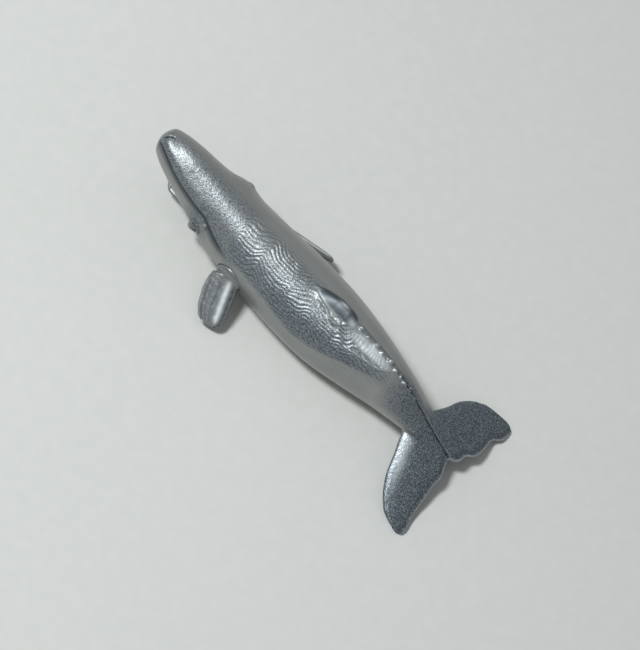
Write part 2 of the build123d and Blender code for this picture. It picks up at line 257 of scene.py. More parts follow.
def cloud(points, size, seed):
    """Smooth values from -1 to 1 that wander over a size, the same on each run."""
    grid = np.asarray(points, float) / size + seed * 7.31
    cell = np.floor(grid).astype(np.int64)
    part = grid - cell
    part = part * part * (3.0 - 2.0 * part)
    total = np.zeros(len(grid))
    for corner in itertools.product((0, 1), repeat=grid.shape[1]):
        weight = np.ones(len(grid))
        mixed = np.full(len(grid), seed * 9176 + 12345, np.int64)
        for axis, step in enumerate(corner):
            weight *= part[:, axis] if step else 1.0 - part[:, axis]
            mixed = (mixed ^ ((cell[:, axis] + step) * (73856093, 19349663, 83492791)[axis])) & 0x7FFFFFFF
            mixed = (mixed * 1103515 + 12289) & 0x7FFFFFFF
        mixed = (mixed ^ (mixed >> 13)) * 1274126 & 0x7FFFFFFF
        total += weight * ((mixed % 65536) / 32767.5 - 1.0)
    return total


# Meshes
def new_object(name, points, faces):
    mesh = bpy.data.meshes.new(name)
    mesh.from_pydata([tuple(p) for p in np.asarray(points, float)], [], faces)
    mesh.validate()
    mesh.update()
    made = bpy.data.objects.new(name, mesh)
    bpy.context.scene.collection.objects.link(made)
    return made


def outward(obj):
    """Turns the faces of a closed mesh to point outwards."""
    work = bmesh.new()
    work.from_mesh(obj.data)
    bmesh.ops.recalc_face_normals(work, faces=work.faces)
    if work.calc_volume(signed=True) < 0:
        bmesh.ops.reverse_faces(work, faces=work.faces)
    work.to_mesh(obj.data)
    work.free()
    return obj


def skinned(rings):
    """A closed skin through rings of as many points each, fanned at the ends."""
    rings = np.asarray(rings, float)
    count, around = rings.shape[:2]
    points = np.vstack([rings.reshape(-1, 3), rings[0].mean(0), rings[-1].mean(0)])
    faces = []
    for ring in range(count - 1):
        for step in range(around):
            a, b = ring * around + step, ring * around + (step + 1) % around
            faces.append((a, b, b + around, a + around))
    first, last = count * around, count * around + 1
    for step in range(around):
        a, b = step, (step + 1) % around
        faces.append((first, b, a))
        faces.append((last, (count - 1) * around + a, (count - 1) * around + b))
    return outward(new_object("form", points, faces))


def joined(name, parts):
    """One object that holds the meshes of several."""
    points, faces, shift = [], [], 0
    for part in parts:
        mesh = part.data
        points.append(numbers_of(mesh.vertices, "co"))
        faces += [tuple(v + shift for v in face.vertices) for face in mesh.polygons]
        shift += len(mesh.vertices)
        bpy.data.objects.remove(part)
    return new_object(name, np.vstack(points), faces)


def settled(obj):
    """Puts what an object's modifiers make into its mesh and takes them off."""
    graph = bpy.context.evaluated_depsgraph_get()
    mesh = bpy.data.meshes.new_from_object(obj.evaluated_get(graph))
    obj.modifiers.clear()
    obj.data = mesh
    return obj


def reskinned(obj, step):
    """One even skin round everything that an object holds."""
    cover = obj.modifiers.new("skin", "REMESH")
    cover.mode = "VOXEL"
    cover.voxel_size = step
    cover.adaptivity = 0.0
    return settled(obj)


def combined(obj, other, how="DIFFERENCE"):
    """Cuts with another object, or does what else is said. The other is used up."""
    cut = obj.modifiers.new("cut", "BOOLEAN")
    cut.operation = how
    cut.object = other
    cut.solver = "MANIFOLD"
    settled(obj)
    bpy.data.objects.remove(other)
    return obj


def numbers_of(items, what):
    values = np.empty(len(items) * 3, np.float32)
    items.foreach_get(what, values)
    return values.reshape(-1, 3).astype(float)


def points_of(obj):
    return numbers_of(obj.data.vertices, "co")


def normals_of(obj):
    return numbers_of(obj.data.vertex_normals, "vector")


def put_points(obj, points):
    obj.data.vertices.foreach_set("co", np.ascontiguousarray(points, np.float32).ravel())
    obj.data.update()


def relaxed(obj, rounds, weight=1.0):
    """Evens out a skin. Every second round pushes back, so that it keeps its size."""
    points = points_of(obj)
    pairs = np.empty(len(obj.data.edges) * 2, np.int32)
    obj.data.edges.foreach_get("vertices", pairs)
    a, b = pairs.reshape(-1, 2).T
    count = len(points)
    degree = np.maximum(np.bincount(a, minlength=count) + np.bincount(b, minlength=count), 1)
    for turn in range(rounds * 2):
        share = 0.55 if turn % 2 == 0 else -0.57
        around = np.empty_like(points)
        for axis in range(3):
            line = points[:, axis]
            around[:, axis] = np.bincount(a, line[b], count) + np.bincount(b, line[a], count)
        moved = around / degree[:, None] - points
        points = points + moved * (share * np.asarray(weight).reshape(-1, 1))
    put_points(obj, points)
    return obj


def rod(radius, behind_nose, z, low, high, sides=64):
    """A rod along Y, from one place across to another in either order."""
    turn = full_turn(sides)
    x = NOSE_X + behind_nose
    circle = np.stack([x + radius * np.cos(turn), 0 * turn, z + radius * np.sin(turn)], 1)
    return skinned([circle + (0, y, 0) for y in sorted((low, high))])


def slab(low, high):
    corners = [(low[0], low[1]), (high[0], low[1]), (high[0], high[1]), (low[0], high[1])]
    return skinned([[(x, y, z) for x, y in corners] for z in (low[2], high[2])])


def prism(outline, low, high):
    """An outline in X and Z, given depth along Y."""
    return skinned([[(x, y, z) for x, z in outline] for y in sorted((low, high))])


def tilted(points, tilt):
    """Points turned about Y, so that their front end goes up."""
    lean = math.radians(tilt)
    x, y, z = points.T
    return np.stack([x * math.cos(lean) + z * math.sin(lean), y, z * math.cos(lean) - x * math.sin(lean)], 1)


def spheroid(half_length, radius, place, tilt):
    """A long bead along X, its front end tilted up."""
    turn = full_turn(48)
    rings = []
    for along in np.linspace(-math.pi / 2, math.pi / 2, 40)[1:-1]:
        r = radius * math.cos(along)
        x = np.full_like(turn, half_length * math.sin(along))
        rings.append(tilted(np.stack([x, r * np.sin(turn), r * np.cos(turn)], 1), tilt) + place)
    return skinned(rings)


# Node trees
class Value:
    """A socket in a material that takes part in ordinary sums."""

    def __init__(self, paint, socket):
        self.paint, self.socket = paint, socket

    def __add__(self, other):
        return self.paint.math("ADD", self, other)

    def __sub__(self, other):
        return self.paint.math("SUBTRACT", self, other)

    def __rsub__(self, other):
        return self.paint.math("SUBTRACT", other, self)

    def __mul__(self, other):
        return self.paint.math("MULTIPLY", self, other)

    __radd__ = __add__
    __rmul__ = __mul__


class Tree:
    """A short way to add nodes to a tree and link them."""

    def __init__(self, tree):
        self.tree = tree

    def add(self, kind, settings=None, **sockets):
        """Adds a node. A socket goes by its name, or by i and its number."""
        node = self.tree.nodes.new(kind)
        for key, value in (settings or {}).items():
            setattr(node, key, value)
        for key, value in sockets.items():
            numbered = key[0] == "i" and key[1:].isdigit()
            self.feed(node.inputs[int(key[1:]) if numbered else key.replace("_", " ")], value)
        return node

    def feed(self, socket, value):
        value = value.socket if isinstance(value, Value) else value
        if isinstance(value, bpy.types.NodeSocket):
            self.tree.links.new(value, socket)
        else:
            socket.default_value = value


class Growth(Tree):
    """A Geometry Nodes tree that sets one piece on each point of a mesh, as one mesh."""

    def __init__(self, name, ends, inputs):
        super().__init__(bpy.data.node_groups.new(name, "GeometryNodeTree"))
        sockets = self.tree.interface
        for end, way in zip(ends, ("INPUT", "OUTPUT")):
            sockets.new_socket(name=end, in_out=way, socket_type="NodeSocketGeometry")
        self.ids = {}
        for key, value in inputs.items():
            kind = "NodeSocketInt" if isinstance(value, int) else "NodeSocketFloat"
            made = sockets.new_socket(name=key, in_out="INPUT", socket_type=kind)
            made.default_value = value
            self.ids[key] = made.identifier
        self.given = self.add("NodeGroupInput")

    def sums(self, operation, *values):
        sockets = {f"i{index}": value for index, value in enumerate(values)}
        return self.add("ShaderNodeMath", {"operation": operation}, **sockets).outputs[0]

    def random(self, low, high):
        ends = {"i2": low, "i3": high, "Seed": self.given.outputs["Seed"]}
        return self.add("FunctionNodeRandomValue", {"data_type": "FLOAT"}, **ends).outputs[1]

    def vector(self, x, y, z):
        return self.add("ShaderNodeCombineXYZ", i0=x, i1=y, i2=z).outputs[0]

    def close(self, piece, material, **ways):
        ways.update(Points=self.given.outputs[0], Instance=piece)
        placed = self.add("GeometryNodeInstanceOnPoints", **ways)
        real = self.add("GeometryNodeRealizeInstances", Geometry=placed.outputs[0])
        painted = self.add("GeometryNodeSetMaterial", Geometry=real.outputs[0], Material=material)
        self.add("NodeGroupOutput", i0=painted.outputs[0])

    def grown_on(self, obj, **values):
        grown = obj.modifiers.new("grown", "NODES")
        grown.node_group = self.tree
        for key, value in values.items():
            grown[self.ids[key]] = value
        return settled(obj)


# The body's own measures
def body_at(behind_nose):
    """Half width, middle height and half height of the body behind the nose."""
    share = np.asarray(behind_nose, float) / LENGTH
    top = BACK_HEIGHT * curve(BODY, 2, share)
    bottom = BACK_HEIGHT * curve(BODY, 3, share)
    return HALF_WIDTH * curve(BODY, 1, share), (top + bottom) / 2, (top - bottom) / 2


def body_ring(behind_nose, inset=0.0, around=160):
    half_width, middle, half_height = body_at(behind_nose)
    rounding = 1.0
    if behind_nose < NOSE_ROUNDING and inset == 0.0:
        rounding = math.sqrt(max(0.0, 1.0 - (1.0 - behind_nose / NOSE_ROUNDING) ** 2))
    turn = full_turn(around)
    fullness = np.where(np.cos(turn) >= 0, UPPER_FULLNESS, LOWER_FULLNESS)
    y = (half_width - inset) * rounding * rounded(np.sin(turn), fullness)
    z = middle + (half_height - inset) * rounding * rounded(np.cos(turn), fullness)
    return np.stack([np.full_like(turn, NOSE_X + behind_nose), y, z], 1)


def plain_body():
    end = LENGTH * BODY[-1][0]
    front = NOSE_ROUNDING * (1 - np.cos(np.linspace(0, math.pi / 2, 12)))[1:]
    places = np.concatenate([[0.004], front, np.linspace(NOSE_ROUNDING, end, 200)[1:]])
    return skinned([body_ring(place) for place in places])


def fluke_at(y):
    """Leading edge, trailing edge, height, thickness and fall per millimetre of the flukes."""
    y = np.asarray(y, float)
    share = np.clip(np.abs(y) / FLUKE_SPAN, 0, 1)
    lead = np.where(y >= 0, curve(RIGHT_LEAD, 1, share), curve(LEFT_LEAD, 1, share))
    trail = np.where(y >= 0, curve(RIGHT_TRAIL, 1, share), curve(LEFT_TRAIL, 1, share))
    thin, drop = curve(FLUKES, 1, share), curve(FLUKES, 2, share)
    thickness = FLUKE_ROOT_THICKNESS + (FLUKE_TIP_THICKNESS - FLUKE_ROOT_THICKNESS) * thin
    height = FLUKE_ROOT_HEIGHT + (FLUKE_TIP_HEIGHT - FLUKE_ROOT_HEIGHT) * drop
    return lead, trail, height, thickness, FLUKE_PITCH * (1 - FLUKE_UNTWIST * share)


def flukes():
    """Both flukes as one flat body from tip to tip."""
    rings = []
    turn = full_turn(96)
    spread = np.sin(np.linspace(-math.pi / 2, math.pi / 2, 161)) * 0.35 + np.linspace(-1, 1, 161) * 0.65
    for y in spread * FLUKE_SPAN * 0.9995:
        lead, trail, height, thickness, fall = (float(v) for v in fluke_at(y))
        past = max(0.0, abs(y) / FLUKE_SPAN - 1 + FLUKE_TIP_ROUNDING) / FLUKE_TIP_ROUNDING
        narrow = math.sqrt(max(1e-4, 1 - past ** 2))
        middle = (trail + lead) / 2 + (trail - lead) * 0.16 * (1 - narrow)
        x = middle + (trail - lead) / 2 * narrow * rounded(np.cos(turn), 2.3)
        z = thickness / 2 * rounded(np.sin(turn), 2.2) * math.sqrt(narrow)
        back = np.clip((x - lead) / (trail - lead), 0, 1)
        z = z * (1.12 - 0.42 * back) - fall * (x - middle)
        rings.append(np.stack([NOSE_X + x, np.full_like(turn, y), height + z], 1))
    return skinned(rings)


def brow(side):
    x, y, z, half_length, radius = BROWS[side]
    return spheroid(half_length, radius, (NOSE_X + x, side * y, z), BROW_TILT)


def knuckles(material):
    """Small lumps along the ridge line, a little uneven, as one mesh."""
    tree = Growth("ridge_knuckles", ("Ridge", "Knuckles"), {"Stretch": 1.25, "Unevenness": 0.12, "Seed": 4})
    lump = tree.add("GeometryNodeMeshIcoSphere", Radius=1.0, Subdivisions=3)
    size = tree.add("GeometryNodeInputNamedAttribute", {"data_type": "FLOAT"}, Name="size").outputs[0]
    uneven = tree.given.outputs["Unevenness"]
    wobble = tree.random(tree.sums("MULTIPLY", uneven, -1.0), uneven)
    grown = tree.sums("MULTIPLY_ADD", wobble, size, size)
    long = tree.sums("MULTIPLY", grown, tree.given.outputs["Stretch"])
    lean = tree.vector(0.0, 0.2, tree.sums("MULTIPLY", wobble, 2.0))
    tree.close(lump.outputs[0], material, Rotation=lean, Scale=tree.vector(long, grown, grown))
    places, sizes = [], []
    for index, (x, y, size) in enumerate(KNUCKLE_ROW):
        half_width, middle, half_height = body_at(x)
        top = float(middle + half_height * math.sqrt(1 - (y / half_width) ** 2))
        places.append((NOSE_X + x, y + 0.08 * (-1) ** index, top - 0.12 * size))
        sizes.append(size)
    row = new_object("knuckles", places, [])
    mark(row, size=sizes)
    return tree.grown_on(row, Stretch=1.3, Unevenness=0.12, Seed=4)


# The surface's own detail, with its painted shade and highlights
class Detail:
    """Where each point of the skin lies, in millimetres, and how much of each feature it has."""

    def __init__(self, points):
        self.points = points
        self.x, self.y, self.z = points[:, 0] - NOSE_X, points[:, 1], points[:, 2]
        self.half_width, self.middle, self.half_height = body_at(self.x)
        # The angle runs from the top towards the right, and w is the way round in millimetres.
        up = (self.z - self.middle) / self.half_height
        self.angle = np.degrees(np.arctan2(self.y / self.half_width, up))
        self.girth = (self.half_width + self.half_height) / 2
        self.w = np.radians(self.angle) * self.girth
        self.flat = np.stack([self.x, self.w], 1)
        self.fold_angle = line_at(HEAD_FOLD, self.x)
        self.beside_fold = np.radians(self.angle + self.fold_angle) * self.girth
        self.upper = rise(-0.2, 0.2, self.z - self.middle)
        gap = np.hypot(self.x - EYE_X, self.z - EYE_Z)
        self.eye_gap = np.where(np.abs(self.y) > 3.5, gap, 99.0)
        lead, trail, height, thickness, fall = fluke_at(self.y)
        self.front_gap, self.back_gap = self.x - lead, trail - self.x
        high = height - fall * (self.x - (lead + trail) / 2)
        flat = rise(1.4, 0.7, np.abs(self.z - high) - thickness * 0.3)
        out = rise(0.2, 1.3, np.abs(self.y) - self.half_width * 0.9)
        self.fluke = rise(61.0, 63.0, self.x) * flat * np.maximum(out, rise(70.0, 72.0, self.x))
        self.body = 1 - self.fluke
        # The smooth patch on the left of the tail's ridge, where edge() paints a bright highlight.
        self.shine = np.exp(-(((self.x - 50.2) / 4.4) ** 2 + ((self.w + 1.1) / 1.1) ** 2) ** 2)
        self.hump = hump_rise(self.x, self.y, self.z)
        self.wrinkle = self.wrinkle_lines()
        self.wrinkled = self.wrinkle_share()
        self.rough = self.rough_share()

    def wrinkle_lines(self):
        """Height of the wavy wrinkles, from 0 in their grooves to 1 on their crests."""
        x, w, flat = self.x, self.w, self.flat
        turn = 2 * math.pi * (x - 26.2 + 0.25 * w + 1.2 * cloud(flat, 9.0, 15)) / WAVE_LENGTH
        sway = (0.72 + 0.08 * np.clip(w + 2.0, 0, 4)) * np.cos(turn + 0.45 * np.sin(turn))
        sway += 0.20 * np.sin(2 * math.pi * (x / RIPPLE_LENGTH + 0.9 * cloud(flat, 4.0, 23)))
        drift = 0.5 * cloud(flat, 5.0, 3) + 0.3 * cloud(flat * (0.6, 1), 2.3, 5) + 0.09 * cloud(flat, 1.0, 9)
        calm = rise(21.5, 26.0, x)
        line = w + 5.1 - 0.13 * (x - SWIRL_X) * calm - sway * calm
        turn_in = np.clip(SWIRL_X - x, 0, None) * 1.9
        phase = (np.hypot(line, turn_in) + drift) / (WRINKLE_SPACING + 0.07 * cloud(flat, 7.0, 12))
        return np.abs(np.sin(math.pi * phase)) ** 0.8

    def wrinkle_share(self):
        """Where the wrinkles are strong: a band from the top of the back down the left."""
        x, w, angle = self.x, self.w, self.angle
        left, right = line_at(BAND_LEFT, x), line_at(BAND_RIGHT, x)
        band = rise(-left - 7, -left + 5, angle) * rise(right + 8, right - 10, angle)
        ends = rise(19.2, 22.6, x + 1.5 * cloud(self.flat, 2.4, 27)) * rise(58.0, 53.0, x)
        hump_side = np.exp(-(((x - 41.3) / 4.4) ** 2 + ((w - 0.1) / 1.9) ** 2) ** 2)
        faint = 0.22 * rise(112, 88, np.abs(angle)) * rise(20.0, 27.0, x)
        low = faint * rise(58.0, 52.0, x) * (angle < 0)
        return np.maximum(band * ends, low) * (1 - 0.95 * hump_side) * (1 - 0.85 * self.shine)

    def rough_share(self):
        """Where the skin is stippled: top of the head, the band and the flukes."""
        x, angle = self.x, self.angle
        head = rise(-0.3, 0.4, self.beside_fold) * rise(26, 2, angle) * rise(26, 20, x)
        tail = rise(55.0, 58.5, x) * rise(-100, -66, angle) * rise(26, 10, angle)
        tail = np.maximum(tail, rise(62.0, 65.0, x) * rise(105, 75, angle))
        eye = bell(x, EYE_X - 0.4, 3.0) * bell(self.z, EYE_Z + 0.5, 2.8)
        return np.clip(np.maximum.reduce([head, self.wrinkled, tail, eye, self.fluke]), 0, 1)

    def bold_ridge(self):
        found = np.zeros(len(self.x))
        for rows in BOLD_RIDGES:
            first, last = rows[0][0], rows[-1][0]
            ends = rise(first - 0.2, first + 0.9, self.x) * rise(last + 0.2, last - 0.9, self.x)
            found = np.maximum(found, ends * bell(self.w, curve(rows, 1, self.x), 0.24))
        return found

    def hump_line(self):
        """The thin groove along the hump's crest on its right, painted dark as shade."""
        lane = line_at(HUMP_CREST, self.x) + 0.12
        ends = rise(35.5, 37.0, self.x) * rise(45.6, 44.6, self.x)
        return ends * bell(self.y, lane, 0.20) * (self.z > 12.5)

    def head_fold(self):
        """The long fold along each side of the head."""
        right_fold = np.radians(self.angle - self.fold_angle - 6) * self.girth
        sides = bell(self.beside_fold, 0, 0.50) + 0.35 * bell(right_fold, 0, 0.65)
        return rise(0.0, 1.2, self.x) * rise(23.5, 19.0, self.x) * sides

    def keel_groove(self):
        """The seam's groove along the tail's ridge, down to the notch, painted dark as shade."""
        lane = 0.10 + 0.05 * np.sin(self.x * 2.1)
        return bell(self.y, lane, 0.13) * self.upper * rise(50.0, 60.0, self.x)

    def keel_rim(self):
        # The thin rim beside the seam, raised a little and painted as a highlight.
        return bell(self.y, 0.34, 0.10) * self.upper * rise(59.0, 63.0, self.x)

    def blowhole(self):
        """The curved slit on the left of the forehead."""
        x = self.x - 1.55
        y = self.y + 0.75 - 0.45 * np.sin(x * 1.9)
        return np.exp(-(y / 0.17) ** 2 - (x / 0.75) ** 4) * rise(12.5, 13.5, self.z)

    def height(self):
        """How far the finished skin stands above or below the plain form."""
        x, y, w, angle, fluke = self.x, self.y, self.w, self.angle, self.fluke
        strong = (WRINKLE_HEIGHT + 0.05 * cloud(self.flat, 3.0, 19)) * (1 - 0.35 * rise(-3.5, -5.5, w))
        high = strong * (self.wrinkle - 0.7) * self.wrinkled * self.body + self.hump
        high -= FOLD_DEPTH * self.head_fold() * self.body
        high += SWELL_HEIGHT * bell(self.beside_fold, 1.55, 1.25) * rise(19.0, 9.0, x) * rise(0.0, 2.5, x)
        high += BOLD_HEIGHT * self.bold_ridge() * self.body - 0.10 * self.hump_line()
        cross = np.abs(np.sin(math.pi * (x + 0.35 * w + 0.5 * cloud(self.flat, 2.2, 17)) / RIB_SPACING))
        high += 0.045 * (cross - 0.6) * self.shine
        high += 0.05 * self.keel_rim() - SEAM_DEPTH * self.keel_groove()
        # The left cheek, then the swelling round the right brow.
        high += CHEEK_HEIGHT * bell(x, 18.4, 2.8) * bell(angle, -100, 32)
        high += BROW_SWELL * bell(x, 15.6, 2.5) * bell(angle, 68, 27)
        high += 0.15 * bell(self.eye_gap, 0.88, 0.20) - 0.06 * bell(self.eye_gap, 1.25, 0.20)
        high -= BLOWHOLE_DEPTH * self.blowhole()
        # Ribs and a raised rim along the back of the flukes.
        wander = 0.9 * cloud(np.stack([y, x * 0.35], 1), 2.6, 21)
        ribs = np.abs(np.sin(math.pi * (y / RIB_SPACING + wander)))
        back, out = rise(5.6, 1.2, self.back_gap), rise(1.2, 2.6, np.abs(y))
        high += RIB_HEIGHT * (ribs - 0.6) * fluke * back * out
        high += fluke * (0.07 * rise(0.42, 0.22, self.back_gap) - 0.05 * bell(self.back_gap, 0.75, 0.22))
        return high + 0.008 * cloud(self.points, 0.75, 31) + 0.014 * cloud(self.points, 0.36, 33) * self.rough

    def dark(self):
        """Darker, bluer paint: painted shade beside the head fold, over the head, on the band's rear and
        lower left and on the hump; also darker round the eye, on the tail and on the flukes.
        """
        x, angle = self.x, self.angle
        fold = bell(self.beside_fold, 0.7, 1.5) * rise(27, 21, x) * rise(-1, 2, x)
        eye = bell(x, EYE_X - 0.4, 2.8) * bell(self.z, EYE_Z + 0.8, 3.0)
        tail = rise(54, 61, x) * rise(-104, -60, angle) * rise(24, 8, angle)
        tail = np.maximum(tail, 1.2 * rise(62.0, 65.5, x) * rise(105, 75, angle))
        # Painted shade: the band darkens towards the tail and on its lower left, the head darkens behind the
        # nose, and the hump's face darkens.
        band = (0.26 + 0.16 * rise(29, 35, x) + 0.44 * rise(-2.8, -5.2, self.w)) * self.wrinkled
        head = (0.18 + 0.20 * rise(4, 12, x)) * self.rough * rise(28, 20, x)
        hump = rise(0.14, 0.45, self.hump)
        parts = [0.75 * fold, 0.8 * eye, 0.8 * tail, band, head, hump, self.fluke]
        return np.clip(np.maximum.reduce(parts), 0, 1)

    def hollow(self):
        """Painted shade: darker in the wrinkles' grooves, the head folds, the seam, the blowhole and round
        the eye, on the hump's left face, beside the knuckles, along the hump's crest and inside the flukes'
        rear rim.
        """
        x, y = self.x, self.y
        hump_left = rise(0.1, -0.4, y - line_at(HUMP_CREST, x))
        row_x, row_y, _ = zip(*KNUCKLE_ROW)
        shade = bell(y, np.interp(x, row_x, row_y) + 0.42, 0.17) * (self.z > 9.0)
        parts = [
            0.58 * rise(0.55, 0.08, self.wrinkle) * self.wrinkled * self.body,
            0.40 * rise(0.16, 0.5, self.hump) * hump_left,
            0.95 * self.head_fold() * self.body,
            self.keel_groove(),
            0.9 * self.hump_line(),
            0.7 * shade * rise(45.4, 46.6, x) * rise(60.0, 58.0, x),
            self.blowhole(),
            0.45 * bell(self.eye_gap, 1.25, 0.25),
            0.8 * bell(self.eye_gap, 0.62, 0.12),
            0.45 * self.fluke * bell(self.back_gap, 0.75, 0.25),
        ]
        return np.clip(np.maximum.reduce(parts), 0, 1)

    def edge(self):
        """Painted highlights: the flukes' rear rims and the left fluke's leading edge, the seam's rim, the
        knuckles, the wrinkles' crests, the bold ridges, the bright patch on the tail and glints on the hump.
        """
        x, y, w = self.x, self.y, self.w
        proud = rise(0.08, 0.36, self.z - (self.middle + self.half_height))
        glint = bell(x, 42.0, 0.9) * bell(y, 0.85, 0.25) + bell(x, 44.9, 0.8) * bell(w, -0.2, 0.6)
        lead_band = (y < 0) * bell(self.front_gap, 1.5, 1.0) * rise(13.5, 6.0, np.abs(y))
        parts = [
            0.34 * self.fluke * rise(0.30, 0.14, self.back_gap),
            0.58 * self.fluke * lead_band,
            0.2 * self.keel_rim(),
            0.28 * proud * rise(45.6, 46.4, x) * rise(63, 61, x),
            0.07 * rise(0.72, 0.98, self.wrinkle) * self.wrinkled,
            0.32 * self.bold_ridge() * self.body,
            self.shine * (0.80 + 0.30 * cloud(np.stack([x * 0.6, w], 1), 0.8, 43)),
            0.8 * glint,
        ]
        return np.clip(np.maximum.reduce(parts), 0, 1)


def hump_rise(x, y, z):
    """Height of the hump over the plain back: a low ridge with a long left face."""
    start, high, fall, end = HUMP
    off = y - line_at(HUMP_CREST, x)
    away = np.where(off < 0, -off / HUMP_LEFT, off / HUMP_RIGHT)
    return HUMP_HEIGHT * rise(start, high, x) * rise(end, fall, x) * rise(1.0, 0.0, away) * (z > 9.0)


def mark(obj, **layers):
    """Stores surface values that the paint reads."""
    for name, values in layers.items():
        layer = obj.data.attributes.get(name) or obj.data.attributes.new(name, "FLOAT", "POINT")
        layer.data.foreach_set("value", np.ascontiguousarray(values, np.float32))


# Paint
class Paint(Tree):
    """A material and the nodes that make it."""

    def __init__(self, name):
        self.material = bpy.data.materials.new(name)
        self.material.use_nodes = True
        super().__init__(self.material.node_tree)
        self.tree.nodes.clear()
        self.place = self.value("ShaderNodeTexCoord", "Object")

    def value(self, kind, output=0, settings=None, **sockets):
        return Value(self, self.add(kind, settings, **sockets).outputs[output])

    def math(self, operation, a, b):
        return self.value("ShaderNodeMath", 0, {"operation": operation}, i0=a, i1=b)

    def noise(self, scale, detail=3.0, rough=0.55, stretch=None):
        at = self.place
        if stretch:
            at = self.value("ShaderNodeVectorMath", 0, {"operation": "MULTIPLY"}, i0=at, i1=stretch)
        return self.value("ShaderNodeTexNoise", Vector=at, Scale=scale, Detail=detail, Roughness=rough)

    def ramp(self, factor, low, high):
        """0 below low and 1 above high."""
        smooth = {"clamp": True, "interpolation_type": "SMOOTHSTEP"}
        return self.value("ShaderNodeMapRange", 0, smooth, i0=factor, i1=low, i2=high)

    def layer(self, name):
        return self.value("ShaderNodeAttribute", "Fac", {"attribute_name": name})

    def mix(self, factor, a, b):
        return self.value("ShaderNodeMix", 2, {"data_type": "RGBA"}, i0=factor, i6=a, i7=b)

    def bump(self, height, distance, strength=1.0, **below):
        return self.value("ShaderNodeBump", Strength=strength, Distance=distance, Height=height, **below)

    def finish(self, color, **sockets):
        shader = self.add("ShaderNodeBsdfPrincipled", Base_Color=color, **sockets)
        self.add("ShaderNodeOutputMaterial", i0=shader.outputs[0])
        return self.material


def shaded(tone, share):
    return (*[min(1.0, c * share) for c in tone], 1.0)


def metal_skin(name):
    """Satin silver grey paint over a moulding, with painted shade in its grooves and painted highlights on
    its edges.
    """
    paint = Paint(name)
    soft = paint.noise(180.0, 3.0)
    speckle = paint.noise(5800.0, 1.5, 0.6, (0.7, 1.0, 1.0))
    grit = paint.noise(7000.0, 1.0, 0.5)
    rough, navy, hollow, edge = (paint.layer(mask) for mask in ("stipple", "navy", "hollow", "edge"))
    color = paint.mix(paint.ramp(soft, 0.30, 0.70) * 0.5, shaded(BODY_TONE, 1.0), shaded(BODY_TONE, 0.88))
    # Darker, bluer paint where the layer asks: partly painted shade, partly a darker tone of the paint.
    color = paint.mix(navy * 0.9, color, shaded(NAVY_TONE, 1.0))
    flecks = rough * paint.ramp(speckle, 0.50, 0.66)
    pits = rough * (1.0 - paint.ramp(speckle, 0.34, 0.50))
    color = paint.mix(flecks * (0.48 + 0.34 * navy), color, shaded(NAVY_TONE, 3.7))
    color = paint.mix(pits * (0.60 + 0.32 * navy), color, shaded(NAVY_TONE, 0.42))
    color = paint.mix(paint.ramp(grit, 0.35, 0.65) * 0.12, color, shaded(BODY_TONE, 0.70))
    # Painted shade in the hollows, then painted highlights on the edges.
    color = paint.mix(hollow * 0.85, color, shaded(NAVY_TONE, 0.35))
    color = paint.mix(edge * 0.9, color, shaded(EDGE_TONE, 1.0))
    satin = 0.33 + 0.08 * soft + 0.16 * hollow - 0.08 * edge
    low = paint.bump(grit, 0.00003, 0.35)
    high = paint.bump(speckle * (0.15 + 0.85 * rough), 0.00006, 0.8, Normal=low)
    # Painted highlights are made less metallic, so they stay bright.
    return paint.finish(color, Metallic=0.6 - 0.42 * edge, Roughness=satin, Normal=high)


def mottled(name, noise, ends, tones, metal, gloss, bump):
    """A plain finish whose grey and gloss wander a little. Each tone is two greys."""
    paint = Paint(name)
    wander = paint.noise(*noise)
    share = paint.ramp(wander, *ends) if ends else wander
    color = paint.mix(share, *[shaded(tone, 1.0) for tone in tones])
    normal = paint.bump(wander, *bump)
    return paint.finish(color, Metallic=metal, Roughness=gloss[0] + gloss[1] * wander, Normal=normal)


paints = {kind: metal_skin(kind + "_metal_paint") for kind in ("body", "fin", "jaw")}
paints["eye"] = mottled(
    "eye_gloss", (1500.0, 2.0), (0.35, 0.65), ((0.10, 0.105, 0.11), (0.20, 0.21, 0.215)),
    0.55, (0.16, 0.08), (0.00003, 0.3),
)
paints["pin"] = mottled(
    "pin_steel", (2400.0, 3.0, 0.6, (1.0, 0.08, 1.0)), None, ((0.52, 0.52, 0.51), (0.66, 0.66, 0.65)),
    1.0, (0.26, 0.16), (0.00002, 0.4),
)
paints["collar"] = mottled(
    "collar_plastic", (900.0, 3.0), None, ((0.50, 0.50, 0.48), (0.60, 0.60, 0.58)),
    0.0, (0.42, 0.12), (0.00003, 0.4),
)


def dressed(obj, paint, name, crease=38.0):
    """Gives a finished piece its paint, its name, its size in metres and crisp cut edges."""
    obj.name = name
    obj.data.name = name
    obj.data.materials.clear()
    obj.data.materials.append(paints[paint])
    obj.data.transform(Matrix.Scale(MM, 4))
    obj.data.shade_smooth()
    obj.data.update()
    obj.data.set_sharp_from_angle(angle=math.radians(crease))


# Body shells
def jaw_top(behind_nose):
    """Height of the closed jaw's top, just under the palate."""
    share = (behind_nose - MOUTH_FRONT) / (HINGE_X - MOUTH_FRONT)
    return PALATE_FRONT + (PALATE_REAR - PALATE_FRONT) * share - JAW_GAP


def mouth(grow):
    front, end = NOSE_X + MOUTH_FRONT - grow, NOSE_X + HINGE_X + BARREL_RADIUS + JAW_GAP + grow
    outline = [(front, BELOW), (front, PALATE_FRONT + grow), (end, PALATE_REAR + grow), (end, BELOW)]
    half = JAW_ROOT_HALF + JAW_GAP + grow
    return prism(outline, -half, half)


def tooth_line():
    places = []
    for index in range(TOOTH_COUNT):
        share = (index + 1) / TOOTH_SPACES
        x = HINGE_X - JAW_LENGTH * (1 - share)
        y = JAW_TIP_HALF + (JAW_ROOT_HALF - JAW_TIP_HALF) * share - TOOTH_INSET
        places.append((NOSE_X + x, y, jaw_top(x)))
    return places


